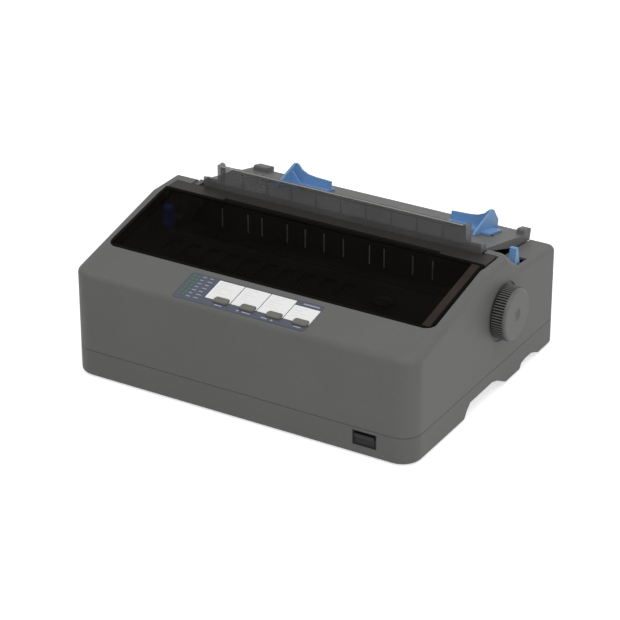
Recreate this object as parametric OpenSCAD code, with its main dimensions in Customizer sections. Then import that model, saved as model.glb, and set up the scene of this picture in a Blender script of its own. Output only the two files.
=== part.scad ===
/* [Body] */
// Width over everything, knob included
overall_w = 362; // [358:1:366]
// Width of the case without the knob
body_w = 348; // [346:1:352]
// Depth of the case, front to back
body_d = 275; // [274:1:276]
// Height of the ridge that carries the cover
ridge_h = 130; // [129:0.5:131]
// Height of the deck's front edge
deck_h = 102; // [101:0.5:103]
// Slope of the deck from the front edge up to the ridge
deck_tilt = 11.75; // [11.5:0.05:12]
// Height of the seam between the lower and the upper case
seam_z = 27.4; // [26:0.2:29]
// Thickness of the moulded case walls
wall = 2.5; // [2:0.1:3]
// Radius of the front corners seen from above
front_corner_r = 19; // [16:1:20]
// Radius of the rear corners seen from above
rear_corner_r = 9; // [8:1:12]

/* [Cover] */
// Clear line left around the cover's window
cover_gap = 0.8; // [0.5:0.1:1.2]
// Thickness of the cover's window
window_t = 2.4; // [2:0.1:3]
// Half the width of the upright plate
upright_half_w = 129; // [120:0.5:130]
// Height of the top edge of the upright plate
upright_top = 154; // [150:1:158]

/* [Paper path] */
// Radius of the platen roller
platen_r = 13; // [12:0.5:13.5]
// Half the length of the platen roller
platen_half_w = 122; // [115:1:124]
// Distance of the platen's axis behind the middle of the case
platen_y = 28.5; // [28:0.5:29]
// Height of the platen's axis
platen_z = 79; // [78:0.5:80]
// Radius of the platen shaft
platen_shaft_r = 4; // [3.5:0.5:4.5]
// Radius of the paper-feed knob
knob_r = 24.7; // [23:0.1:25]
// Grip ribs round the knob
knob_ribs = 60; // [40:1:72]
// Distance of the tractor shaft behind the middle of the case
tractor_y = 95; // [94:0.5:96]
// Height of the tractor shaft
tractor_z = 82; // [81:0.5:83]

/* [Print mechanism] */
// Place of the carriage's guide shaft behind the middle of the case
guide_y = -18; // [-20:0.5:-17]
// Height of the carriage's guide shaft
guide_z = 60; // [58:0.5:61]
// Radius of the guide shaft
guide_r = 4; // [3.5:0.5:4.5]
// Where the carriage is parked, from the middle of the paper path
carriage_park = -88; // [-90:1:-84]
// Radius at which the timing belt runs
belt_r = 6; // [5.5:0.5:6.5]
// Fins on the back of the print head
head_fins = 7; // [5:1:8]

/* [Gears] */
// Gear module, pitch diameter over teeth
gear_m = 1; // [1:1:1]
// Teeth of the platen gear
platen_teeth = 40; // [40:1:40]
// Teeth of the feed motor's pinion
pinion_teeth = 18; // [18:1:20]
// Teeth of the idler between platen and tractor
idler_teeth = 30; // [30:1:30]
// Teeth of the tractor gear
tractor_teeth = 40; // [40:1:40]
// Play between the flanks of a gear pair
gear_backlash = 0.3; // [0.2:0.05:0.4]

/* [Hidden] */
$fn = 48;

fit = 0.05;              // radial play of a turning or sliding round fit
gap = 0.3;               // play kept between pieces that only pass each other
eps = 0.01;
hull_fn = 32;

// Case
case_x0 = -overall_w / 2;
case_x1 = case_x0 + body_w;
front_y = -body_d / 2;
rear_y = body_d / 2;
foot_h = 1;              // the case floats this far above the desk
edge_r = [4, 8];         // rounding of the deck's front edge, at its left and right end
rim_r = [3.2, 10];       // rounding of the deck's side rims, left and right
rear_edge_r = 5;
ridge_front_y = -3;
ridge_rear_y = 45;
drop_foot_y = 60;        // foot of the steep drop behind the ridge
shelf_h = 109;           // shelf height at the foot of the drop
shelf_rear_h = 100;      // shelf height at the rear edge
seam_gap = 0.4;

// Deck frame: x across, v up the slope from the front edge, w square to the deck
function deck_z(y) = deck_h + tan(deck_tilt) * (y - front_y);
function deck_v(y) = round((y - front_y) / cos(deck_tilt) * 10) / 10;

// Cover
cover_x0 = -172;
cover_x1 = 158.5;
cover_front_y = -91;
cover_rear_y = 6;
cover_corner_r = 9;
ledge_w = 5;             // ledge that the window rests on
strip_rear_y = 27;       // the upright plate starts here
strip_top = ridge_h;
strip_step_y = 24.5;      // rear edge of the strip's left end
arm_half_w = 144.5;      // the arms at the foot of the upright plate
arm_top = 139;
return_d = 11;           // depth of the upright plate's side returns
plate_t = 2;
cover_pivot_y = 40;
cover_pivot_z = 124;
cover_pin_r = 2.5;
cover_pins = [[-157.2, -143.5], [143.5, 153.5]];
exit_half_w = 112;       // slot that the paper leaves by
exit_y0 = 8;
exit_y1 = 13.5;

// Opening in the upper case below the cover and at the paper entry
shoulder_x0 = -157.5;    // inner face of the left shoulder beside the ridge
shoulder_x1 = 160;       // inner face of the right shoulder

// Sheet guide
sheet_x0 = -157;
sheet_x1 = 140;
sheet_pivot_y = 48;
sheet_pivot_z = 122.5;
sheet_barrel_r = 3.5;
sheet_pin_r = 1.8;
sheet_rear_y = 137;
sheet_rear_z = 105;
sheet_t = 2.5;
sheet_tilt = atan((sheet_pivot_z + sheet_barrel_r - sheet_rear_z) / (sheet_rear_y - sheet_pivot_y));
well_sill = 95.5;        // rear sill that continuous paper passes over
guide_rail_v = 46;       // the edge guides' rail, measured down the sheet guide
guide_left_x = -97;      // fins of the edge guides
guide_right_x = 111;

// Side frames
frame_x = 140;           // inner face of each side frame from the middle
frame_t = 1.6;
gear_x = -131;           // outer face of the gear train, towards the left frame
gear_w = 6;

// Gear train places, found from the pitch radii
function pitch_r(teeth) = gear_m * teeth / 2;
pinion_dir = -120;       // direction from platen to pinion
pinion_dist = pitch_r(platen_teeth) + pitch_r(pinion_teeth);
pinion_y = platen_y + pinion_dist * cos(pinion_dir);
pinion_z = platen_z + pinion_dist * sin(pinion_dir);
span_y = tractor_y - platen_y;
span_z = tractor_z - platen_z;
span = sqrt(span_y * span_y + span_z * span_z);
span_dir = atan2(span_z, span_y);
arm_1 = pitch_r(platen_teeth) + pitch_r(idler_teeth);
arm_2 = pitch_r(tractor_teeth) + pitch_r(idler_teeth);
idler_off = acos((span * span + arm_1 * arm_1 - arm_2 * arm_2) / (2 * span * arm_1));
idler_dir = span_dir - idler_off;
idler_y = platen_y + arm_1 * cos(idler_dir);
idler_z = platen_z + arm_1 * sin(idler_dir);
idler_tractor_dir = atan2(tractor_z - idler_z, tractor_y - idler_y);
// Angle of the first tooth of a gear that meshes with one whose first tooth is at phase
function mesh_phase(phase, teeth, mate_teeth, dir) =
    dir + 180 - (teeth * (phase - dir) + 180) / mate_teeth;
pinion_phase = mesh_phase(0, platen_teeth, pinion_teeth, pinion_dir);
idler_phase = mesh_phase(0, platen_teeth, idler_teeth, idler_dir);
tractor_phase = mesh_phase(idler_phase, idler_teeth, tractor_teeth, idler_tractor_dir);

// ---------- shared shapes ----------

// Rectangle with rounded corners, from two opposite corners
module round_rect(x0, y0, x1, y1, r) {
    translate([x0 + r, y0]) square([x1 - x0 - 2 * r, y1 - y0]);
    translate([x0, y0 + r]) square([x1 - x0, y1 - y0 - 2 * r]);
    for (x = [x0 + r, x1 - r], y = [y0 + r, y1 - r]) translate([x, y]) circle(r);
}

// Plain block from two opposite corners
module block(x0, y0, z0, x1, y1, z1) {
    translate([x0, y0, z0]) cube([x1 - x0, y1 - y0, z1 - z0]);
}

// Round bar along X between two places
module xrod(r, x0, x1, y, z) {
    translate([x0, y, z]) rotate([0, 90, 0]) cylinder(r = r, h = x1 - x0);
}

// Profile drawn in Y and Z, carried along X
module along_x(x0, x1) {
    translate([x0, 0, 0]) rotate([90, 0, 90]) linear_extrude(x1 - x0) children();
}

// Puts its children on the sloping deck: x across, y up the slope, z square to it
module on_deck() {
    translate([0, front_y, deck_h]) rotate([deck_tilt, 0, 0]) children();
}

// Puts its children on the sheet guide: x across, y down the slope, z square to it
module on_sheet() {
    translate([0, sheet_pivot_y, sheet_pivot_z]) rotate([-sheet_tilt, 0, 0]) children();
}

// Corner pad of a moulded case: round in plan and round over its top edge
module corner_pad(plan_r, edge, fn) {
    rotate_extrude($fn = fn) intersection() {
        translate([0, -edge]) square([plan_r, 2 * edge]);
        union() {
            translate([plan_r - edge, 0]) circle(edge, $fn = fn);
            translate([0, -edge]) square([plan_r - edge, 2 * edge]);
        }
    }
}

// Height at which a corner pad just touches the sloping deck
function pad_z(y, plan_r, edge) =
    deck_z(y) - (plan_r - edge) * tan(deck_tilt) - edge / cos(deck_tilt);

// Involute of the base circle, as an angle in degrees at radius r
function inv_angle(base_r, r) =
    let (roll = sqrt(max(0, r * r / (base_r * base_r) - 1))) roll * 180 / PI - atan(roll);

// Spur gear round the origin, first tooth centred on +X, flanks as involutes
module gear_2d(teeth) {
    pr = pitch_r(teeth);
    base_r = pr * cos(20);
    root_r = pr - 1.25 * gear_m;
    tip_r = pr + gear_m;
    low_r = max(base_r, root_r);
    half_pitch = 90 / teeth - gear_backlash / 2 / pr * 90 / PI + inv_angle(base_r, pr);
    steps = 4;
    function flank(k) = low_r + (tip_r - low_r) * k / steps;
    function half_at(r) = half_pitch - inv_angle(base_r, r);
    polygon([
        for (tooth = [0 : teeth - 1]) let (mid = tooth * 360 / teeth) each concat(
            [root_r * [cos(mid - half_at(low_r)), sin(mid - half_at(low_r))]],
            [for (k = [0 : steps]) let (a = mid - half_at(flank(k))) flank(k) * [cos(a), sin(a)]],
            [for (k = [steps : -1 : 0]) let (a = mid + half_at(flank(k))) flank(k) * [cos(a), sin(a)]],
            [root_r * [cos(mid + half_at(low_r)), sin(mid + half_at(low_r))]]
        )
    ]);
}

// Gear on an axis along X, with a bore
module x_gear(teeth, phase, x0, w, y, z, bore_r) {
    translate([x0, y, z]) rotate([90, 0, 90]) difference() {
        linear_extrude(w) rotate(phase) gear_2d(teeth);
        translate([0, 0, -1]) cylinder(r = bore_r, h = w + 2);
    }
}

// ---------- case ----------

// Closed outer form of the case: deck, ridge and drop, then the rear shelf
module case_form(inset, z0, fn) {
    fr = front_corner_r - inset;
    rr = rear_corner_r - inset;
    ers = [edge_r[0] - inset, edge_r[1] - inset];
    trs = [rim_r[0] - inset, rim_r[1] - inset];
    se = rear_edge_r - inset;
    xs = [case_x0 + inset, case_x1 - inset];
    sides = [1, -1];
    hull() {
        for (i = [0, 1]) {
            translate([xs[i] + sides[i] * fr, front_y + inset + fr, 0]) {
                translate([0, 0, z0]) cylinder(r = fr, h = 1, $fn = fn);
                translate([0, 0, pad_z(front_y + fr + inset, fr, ers[i]) - inset / cos(deck_tilt)])
                    corner_pad(fr, ers[i], fn);
            }
            translate([xs[i] + sides[i] * trs[i], ridge_front_y, ridge_h - inset - trs[i]])
                sphere(trs[i], $fn = fn);
            translate([xs[i] + sides[i] * trs[i], ridge_rear_y - rim_r[1], ridge_h - inset - trs[i]])
                sphere(trs[i], $fn = fn);
            translate([xs[i] + sides[i] * 2, drop_foot_y - inset - 2, z0])
                cylinder(r = 2, h = shelf_h - inset - z0, $fn = 16);
        }
    }
    hull() {
        for (i = [0, 1]) {
            translate([xs[i] + sides[i] * rr, rear_y - inset - rr, 0]) {
                translate([0, 0, z0]) cylinder(r = rr, h = 1, $fn = fn);
                translate([0, 0, shelf_rear_h - inset - se]) corner_pad(rr, se, fn);
            }
            translate([xs[i] + sides[i] * se, drop_foot_y - 15, z0])
                cylinder(r = se, h = 1, $fn = fn);
            translate([xs[i] + sides[i] * se, drop_foot_y - 15, shelf_h + 1 - inset - se])
                sphere(se, $fn = fn);
        }
    }
}

// Tub form of the lower case, rounded inwards towards the desk
tub_edge = 3.5;
module tub_form(inset, top) {
    xs = [case_x0 + inset, case_x1 - inset];
    sides = [1, -1];
    hull() for (i = [0, 1], rear = [0, 1]) {
        r = (rear == 1 ? rear_corner_r : front_corner_r) - inset;
        y = rear == 1 ? rear_y - inset - r : front_y + inset + r;
        translate([xs[i] + sides[i] * r, y, 0]) {
            translate([0, 0, top - 1]) cylinder(r = r, h = 1);
            translate([0, 0, foot_h + tub_edge]) corner_pad(r, tub_edge - inset, inset > 0 ? 16 : hull_fn);
        }
    }
}

// Finger scoops along the foot of both sides, as profiles in Y and Z
scoop_depth = 26;
module scoop_2d(grow) {
    polygon([
        [-43 - grow, foot_h - 1], [-36 - grow, 10], [-30, 15 + grow],
        [12, 15.5 + grow], [22, 12.5 + grow], [34 + grow, 6], [46 + grow, foot_h - 1]
    ]);
    polygon([
        [66 - grow, foot_h - 1], [70 - grow, 8], [79, 9.5 + grow], [91, 9.2 + grow],
        [104 + grow, 4.2], [110 + grow, foot_h - 1]
    ]);
}
module scoops(grow) {
    along_x(case_x1 - scoop_depth - grow, case_x1 + 1) scoop_2d(grow);
    along_x(case_x0 - 1, case_x0 + scoop_depth + grow) scoop_2d(grow);
}

foot_places = [for (x = [case_x0 + 32, case_x1 - 32], y = [front_y + 28, rear_y - 20]) [x, y]];
foot_r = 9;
post_places = [for (x = [case_x0 + 17, case_x1 - 17], y = [front_y + 22, rear_y - 32]) [x, y]];
post_r = 4.5;
screw_r = 1.5;
board_posts = [for (x = [-118, 108], y = [-112, -72]) [x, y]];
board_z = 10;
frame_foot_z = 14;
frame_feet = [for (x = [-147, 147], y = [-61, 60]) [x, y]];

module lower_case() {
    color([0.42, 0.42, 0.41]) difference() {
        union() {
            difference() {
                tub_form(0, seam_z - seam_gap);
                tub_form(wall, seam_z + 5);
            }
            intersection() {
                tub_form(0, seam_z - seam_gap);
                scoops(wall);
            }
            for (p = post_places) translate([p[0], p[1], foot_h + 1])
                cylinder(r = post_r, h = seam_z - foot_h - 1 - seam_gap);
            for (p = board_posts) translate([p[0], p[1], foot_h + 1])
                cylinder(r = 3, h = board_z - foot_h - 1);
            for (p = frame_feet) translate([p[0], p[1], foot_h + 1])
                cylinder(r = 3, h = frame_foot_z - foot_h - 1);
            for (x = [-60 : 40 : 60])
                block(x - 1, -60, foot_h + 1, x + 1, 110, foot_h + wall + 2);
        }
        scoops(0);
        for (p = foot_places) translate([p[0], p[1], foot_h - 1]) cylinder(r = foot_r + 0.1, h = 2);
        for (p = post_places) translate([p[0], p[1], foot_h - 1]) {
            cylinder(r = screw_r, h = seam_z);
            cylinder(r = 3.2, h = 6);
        }
        for (x = [-100 : 8 : 100]) block(x, 60, 0, x + 3, 100, foot_h + wall + 1);
        block(switch_x0, front_y - 1, switch_z0, switch_x1, front_y + 8, switch_z1);
    }
}

module rubber_feet() {
    color([0.09, 0.09, 0.09]) for (p = foot_places) translate([p[0], p[1], 0])
        cylinder(r1 = foot_r - 0.6, r2 = foot_r, h = foot_h + 1);
}

module case_screws() {
    color([0.7, 0.7, 0.72]) for (p = post_places) translate([p[0], p[1], foot_h + 5]) difference() {
        union() {
            translate([0, 0, -2.2]) cylinder(r = 2.9, h = 2.2);
            cylinder(r = screw_r, h = seam_z - foot_h - 5 + 6);
        }
        for (a = [0, 90]) rotate(a) cube([3.6, 0.7, 6], center = true);
    }
}

// Control-panel area on the deck, in deck coordinates
panel_x0 = -75;
panel_x1 = 59.5;
panel_v0 = deck_v(-134);
panel_v1 = deck_v(-98);
panel_t = 0.8;
button_x = [-29, -2, 24.5, 51];
button_v = deck_v(-124.5);
button_w = 15;
button_d = 8;
led_x = [-70.5, -66];
led_v = [for (k = [0 : 6]) panel_v0 + 6 + k * 4.4];
led_r = 1;

// Switch recess in the front wall
switch_x0 = 109.5;
switch_x1 = 133;
switch_z0 = 10;
switch_z1 = 24.3;

vent_pitch = 7;

// Outline of the cover's window on the deck, grown outwards by g
module window_2d(g) {
    v0 = deck_v(cover_front_y);
    v1 = deck_v(cover_rear_y) + (g > 0 ? g + 0.6 : 0);
    union() {
        round_rect(cover_x0 - g, v0 - g, cover_x1 + g, v1, cover_corner_r + g);
        translate([cover_x0 - g, v1 - 30]) square([cover_x1 - cover_x0 + 2 * g, 30]);
    }
}

// Blocks inside the shoulders that hold the pins of the cover and of the sheet guide
module pivot_blocks() {
    block(shoulder_x0 - 1, 30, 108, -152.5, 44.2, 127.7);
    block(arm_half_w + 1, strip_rear_y + 3.5, 108, shoulder_x1 + 1, 64, 140);
    block(sheet_x0 - 8, 40, 100, sheet_x0 - gap, 64, 140);
    block(sheet_x1 + gap, 45.3, 100, sheet_x1 + 6, 64, 140);
}

module upper_case() {
    color([0.42, 0.42, 0.41]) difference() {
        union() {
            difference() {
                case_form(0, seam_z, hull_fn);
                case_form(wall, seam_z - 1, 16);
            }
            // shoulders beside the ridge with the bores of the cover's pins, then the well's sides
            intersection() {
                case_form(0.2, seam_z, 16);
                union() {
                    block(case_x0, cover_rear_y, 100, shoulder_x0, drop_foot_y, 140);
                    block(shoulder_x1, cover_rear_y, 100, case_x1, drop_foot_y, 140);
                    pivot_blocks();
                    block(sheet_x0 - 4, 56, 94, sheet_x0 - 1.2, rear_y, 120);
                    block(sheet_x1 + 1.2, 56, 94, sheet_x1 + 4, rear_y, 120);
                }
            }
            for (p = post_places) {
                side = p[0] < 0 ? -1 : 1;
                wall_x = side < 0 ? case_x0 + wall : case_x1 - wall;
                translate([p[0], p[1], seam_z]) cylinder(r = post_r, h = 45);
                block(min(p[0], wall_x) - 0.5, p[1] - 1, seam_z, max(p[0], wall_x) + 0.5, p[1] + 1,
                      seam_z + 45);
            }
        }
        // window's seat, then the mouth below it
        on_deck() {
            translate([0, 0, -window_t - 0.3]) linear_extrude(30) window_2d(cover_gap);
            translate([0, 0, -30]) linear_extrude(40) intersection() {
                window_2d(-ledge_w);
                translate([-300, 0]) square([600, deck_v(cover_rear_y)]);
            }
        }
        // ridge between the shoulders
        block(shoulder_x0, cover_rear_y - 4, 100, shoulder_x1, strip_rear_y + 2, 140);
        block(cover_x0 - cover_gap, cover_rear_y - 2, strip_top - 2.7, shoulder_x0 + 1, strip_step_y + 1.1,
              140);
        difference() {
            block(shoulder_x0, strip_rear_y, 90, shoulder_x1, drop_foot_y + 3, 140);
            pivot_blocks();
        }
        // well under the sheet guide, open to the rear above the sill
        block(sheet_x0 - 1.2, drop_foot_y - 4, well_sill, sheet_x1 + 1.2, rear_y + 1, 140);
        // pin bores of the cover and of the sheet guide
        for (p = cover_pins) xrod(cover_pin_r + fit, p[0] - 0.5, p[1] + 0.5, cover_pivot_y, cover_pivot_z);
        xrod(sheet_pin_r + fit, sheet_x0 - 6, sheet_x0, sheet_pivot_y, sheet_pivot_z);
        xrod(sheet_pin_r + fit, sheet_x1, sheet_x1 + 6, sheet_pivot_y, sheet_pivot_z);
        // knob recess and shaft hole
        xrod(knob_r + 3, case_x1 - 1, case_x1 + 5, platen_y, platen_z);
        xrod(knob_r - 6, case_x1 - 6, case_x1 + 5, platen_y, platen_z);
        // slot of the release lever
        block(release_x0 - 1.5, 62.5, 95, release_x1 + 1.5, 85, 125);
        // control panel seat, button and light holes
        on_deck() {
            translate([0, 0, -panel_t]) linear_extrude(5)
                round_rect(panel_x0, panel_v0, panel_x1, panel_v1, 3);
            for (x = button_x) translate([0, 0, -8]) linear_extrude(12)
                round_rect(x - button_w / 2 - gap, button_v - button_d / 2 - gap,
                           x + button_w / 2 + gap, button_v + button_d / 2 + gap, 3);
            for (x = led_x, v = led_v) translate([x, v, -8]) cylinder(r = led_r + fit, h = 12, $fn = 16);
        }
        // rear openings of the inlet and the interface sockets
        block(inlet_x0 - gap, rear_y - 8, inlet_z0 - gap, inlet_x1 + gap, rear_y + 1, inlet_z1 + gap);
        for (p = port_boxes)
            block(p[0] - gap, rear_y - 8, p[2] - 1, p[1] + gap, rear_y + 1, p[3] + gap);
        // screw holes in the posts
        for (p = post_places) translate([p[0], p[1], seam_z - 1]) cylinder(r = screw_r, h = 9);
        // ventilation slots low on the left side and on the rear
        for (y = [-40 : vent_pitch : 60]) block(case_x0 - 1, y, 40, case_x0 + wall + 1, y + 3, 62);
        for (x = [-60 : vent_pitch : 40]) block(x, rear_y - wall - 1, 66, x + 3, rear_y + 1, 84);
    }
}

// Rear sockets: inlet on the right seen from the front, data sockets on the left
inlet_x0 = 88;
inlet_x1 = 116;
inlet_z0 = 34;
inlet_z1 = 54;
// x0, x1, z0, z1 of the parallel, the serial and the square serial-bus socket
port_boxes = [[-150, -94, 36, 50], [-84, -52, 36, 49], [-44, -31, 36, 47]];

// ---------- control panel and switch ----------

module control_panel() {
    color([0.28, 0.31, 0.36]) on_deck() difference() {
        translate([0, 0, -panel_t]) linear_extrude(panel_t)
            round_rect(panel_x0 + 0.2, panel_v0 + 0.2, panel_x1 - 0.2, panel_v1 - 0.2, 3);
        for (x = button_x) translate([0, 0, -2]) linear_extrude(4)
            round_rect(x - button_w / 2 - gap, button_v - button_d / 2 - gap,
                       x + button_w / 2 + gap, button_v + button_d / 2 + gap, 3);
        for (x = led_x, v = led_v) translate([x, v, -2]) cylinder(r = led_r + fit, h = 4, $fn = 16);
    }
}

led_top = 0.3;
board_w = -9;            // top of the panel's board, below the deck plane
module indicator_leds() {
    color([0.25, 0.7, 0.25]) on_deck() for (x = led_x, v = led_v)
        translate([x, v, board_w]) cylinder(r = led_r, h = led_top - board_w, $fn = 16);
}

module panel_board() {
    color([0.1, 0.35, 0.2]) on_deck() difference() {
        union() {
            translate([0, 0, board_w - 1.6]) linear_extrude(1.6)
                round_rect(panel_x0, panel_v0, panel_x1, panel_v1, 2);
            for (x = button_x) translate([x - 3, button_v - 3, board_w]) cube([6, 6, 1.6]);
        }
        for (x = [panel_x0 + 5, panel_x1 - 5]) translate([x, panel_v1 - 4, board_w - 3])
            cylinder(r = 1.6, h = 6);
    }
}

// Push button standing on the deck: cap, collar under the case wall and stem
button_travel = 0.8;
module button(x) {
    color([0.43, 0.42, 0.39]) on_deck() {
        translate([0, 0, -wall - 0.6]) linear_extrude(wall + 1.6)
            round_rect(x - button_w / 2, button_v - button_d / 2,
                       x + button_w / 2, button_v + button_d / 2, 2.8);
        translate([0, 0, 1]) linear_extrude(0.5)
            round_rect(x - button_w / 2 + 0.6, button_v - button_d / 2 + 0.6,
                       x + button_w / 2 - 0.6, button_v + button_d / 2 - 0.6, 2.2);
        translate([x, button_v, board_w + 1.6 + button_travel + 0.2])
            cylinder(r = 2, h = -board_w - 1.6 - button_travel - wall);
    }
}
module button_1() { button(button_x[0]); }
module button_2() { button(button_x[1]); }
module button_3() { button(button_x[2]); }
module button_4() { button(button_x[3]); }

rocker_y = front_y + 5;
rocker_z = (switch_z0 + switch_z1) / 2;
rocker_pin_r = 1.2;
rocker_tilt = 9;
module switch_housing() {
    color([0.1, 0.1, 0.1]) difference() {
        block(switch_x0 + 0.1, front_y + 1, switch_z0 + 0.1, switch_x1 - 0.1, front_y + 17, switch_z1 - 0.1);
        block(switch_x0 + 1.6, front_y, switch_z0 + 1.4, switch_x1 - 1.6, front_y + 13, switch_z1 - 1.4);
        xrod(rocker_pin_r + fit, switch_x0 - 1, switch_x1 + 1, rocker_y, rocker_z);
    }
}

// Rocker tilted to its off side, its two faces meeting on the pivot line
module power_rocker() {
    color([0.14, 0.14, 0.14]) {
        translate([0, rocker_y, rocker_z]) rotate([rocker_tilt, 0, 0])
            along_x(switch_x0 + 2, switch_x1 - 2) polygon([
                [-5, -4.6], [-3.9, 0], [-5, 4.6], [-4, 5], [2.5, 3.4],
                [4, 1.6], [4, -1.6], [2.5, -3.4], [-4, -5]
            ]);
        xrod(rocker_pin_r, switch_x0 + 0.4, switch_x1 - 0.4, rocker_y, rocker_z);
    }
}

// ---------- cover ----------

arm_x = [-1, 1];
module cover_window() {
    color([0.08, 0.07, 0.06]) difference() {
        union() {
            on_deck() {
                translate([0, 0, -window_t]) linear_extrude(window_t) window_2d(0);
                // stiffening skirt that drops into the mouth
                translate([0, 0, -window_t - 3]) linear_extrude(3 + eps) difference() {
                    window_2d(-ledge_w - 1);
                    window_2d(-ledge_w - 2.6);
                }
            }
            // strip behind the window, with the ears that carry the pins
            block(-arm_half_w, cover_rear_y - 0.4, strip_top - 2.4, cover_x1, strip_rear_y + plate_t,
                  strip_top);
            block(cover_x0, cover_rear_y - 0.4, strip_top - 2.4, 1 - arm_half_w, strip_step_y, strip_top);
            for (s = arm_x) along_x(s * (arm_half_w - 1.25) - 1.25, s * (arm_half_w - 1.25) + 1.25) polygon([
                [strip_rear_y - 2, strip_top - 2.4], [strip_rear_y - 2, strip_top],
                    [cover_pivot_y - 3, strip_top],
                [cover_pivot_y + 2, cover_pivot_z + 3.9], [cover_pivot_y, cover_pivot_z],
                [cover_pivot_y - 4, cover_pivot_z - 1], [cover_pivot_y - 8, strip_top - 2.4]
            ]);
            for (s = arm_x) xrod(4.4, s * (arm_half_w - 1.25) - 1.25, s * (arm_half_w - 1.25) + 1.25,
                                 cover_pivot_y, cover_pivot_z);
            for (p = cover_pins) xrod(cover_pin_r, p[0], p[1], cover_pivot_y, cover_pivot_z);
        }
        block(-exit_half_w, exit_y0, 100, exit_half_w, exit_y1, 140);
        // upright plate's seat
        block(-upright_half_w - 20, strip_rear_y, strip_top - 1.2, upright_half_w + 20,
              strip_rear_y + plate_t + 1, strip_top + 1);
    }
}

rib_x = [for (k = [-4 : 4]) k * 26];
module cover_upright() {
    base = strip_top - 1.2;
    color([0.45, 0.45, 0.45]) {
        // T-shaped plate: tall middle, low arms at both ends
        translate([0, strip_rear_y + plate_t, 0]) rotate([90, 0, 0]) linear_extrude(plate_t) union() {
            translate([-arm_half_w, base]) square([2 * arm_half_w, arm_top - base]);
            round_rect(-upright_half_w, base, upright_half_w, upright_top, 2);
        }
        // side returns and the ribs behind the plate
        for (s = arm_x) along_x(s * (upright_half_w - 1) - 1, s * (upright_half_w - 1) + 1) polygon([
            [strip_rear_y, base + 2], [strip_rear_y + return_d, base + 6],
            [strip_rear_y + return_d, upright_top - 3], [strip_rear_y + return_d - 3, upright_top],
            [strip_rear_y, upright_top]
        ]);
        for (x = rib_x) along_x(x - 0.6, x + 0.6) polygon([
            [strip_rear_y + 1, base], [strip_rear_y + 6, base + 3],
            [strip_rear_y + 3.2, upright_top - 2], [strip_rear_y + 1, upright_top - 1]
        ]);
        for (s = arm_x) along_x(s * (arm_half_w - 1) - 1, s * (arm_half_w - 1) + 1) polygon([
            [strip_rear_y, strip_top + 0.02], [cover_pivot_y - 3, strip_top + 0.02],
            [cover_pivot_y - 4, arm_top - 3], [strip_rear_y, arm_top]
        ]);
    }
}

// ---------- sheet guide ----------

sheet_top = sheet_barrel_r;
ear_h = 5;
sheet_len = (sheet_rear_y - sheet_pivot_y - (sheet_top + ear_h) * sin(sheet_tilt)) / cos(sheet_tilt);
rail_d = 12;             // width of the groove that the edge guides run in
rail_half = 124;
ear_v = 14;
module sheet_guide() {
    len = sheet_len;
    flank_v = 60;
    color([0.42, 0.42, 0.41]) difference() {
        union() {
            xrod(sheet_barrel_r, sheet_x0, sheet_x1, sheet_pivot_y, sheet_pivot_z);
            xrod(sheet_pin_r, sheet_x0 - 5, sheet_x1 + 5, sheet_pivot_y, sheet_pivot_z);
            on_sheet() {
                translate([sheet_x0, 0, sheet_top - sheet_t]) cube([sheet_x1 - sheet_x0, len, sheet_t]);
                // flanks that hang down at both ends, and the folded rear edge
                for (x = [sheet_x0, sheet_x1 - 2]) along_x(x, x + 2) polygon([
                    [0, sheet_top - 1], [len, sheet_top - 1], [len, sheet_top - 6.5],
                    [flank_v, sheet_top - 9], [6, sheet_top - 4]
                ]);
                translate([sheet_x0, len - 2, sheet_top - 5]) cube([sheet_x1 - sheet_x0, 2, 5]);
                // ears that stop the paper at both rear corners
                for (x = [[sheet_x0 + 7, sheet_x0 + 22], [sheet_x1 - 8, sheet_x1]])
                    translate([x[0], len - ear_v, 0]) rotate([90, 0, 90]) linear_extrude(x[1] - x[0])
                        union() {
                        translate([0, sheet_top - 1]) square([ear_v, 4]);
                        translate([2, sheet_top - 1]) square([ear_v - 4, 6]);
                        for (v = [2, ear_v - 2]) translate([v, sheet_top + 3]) circle(2);
                    }
                // stiffening ribs below
                for (x = [-100 : 40 : 100]) translate([x - 0.8, 6, sheet_top - sheet_t - 2.5])
                    cube([1.6, guide_rail_v - rail_d / 2 - 10, 2.6]);
            }
        }
        // groove of the edge guides
        on_sheet() translate([0, 0, sheet_top - 1.2]) linear_extrude(3)
            round_rect(-rail_half, guide_rail_v - 2.5, rail_half, guide_rail_v + 2.5, 2.4);
        // slit between the front flanks so that paper reaches the platen
        block(sheet_x0 + 6, 44, 110, sheet_x1 - 6, sheet_pivot_y - 1.5, 130);
    }
}

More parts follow.
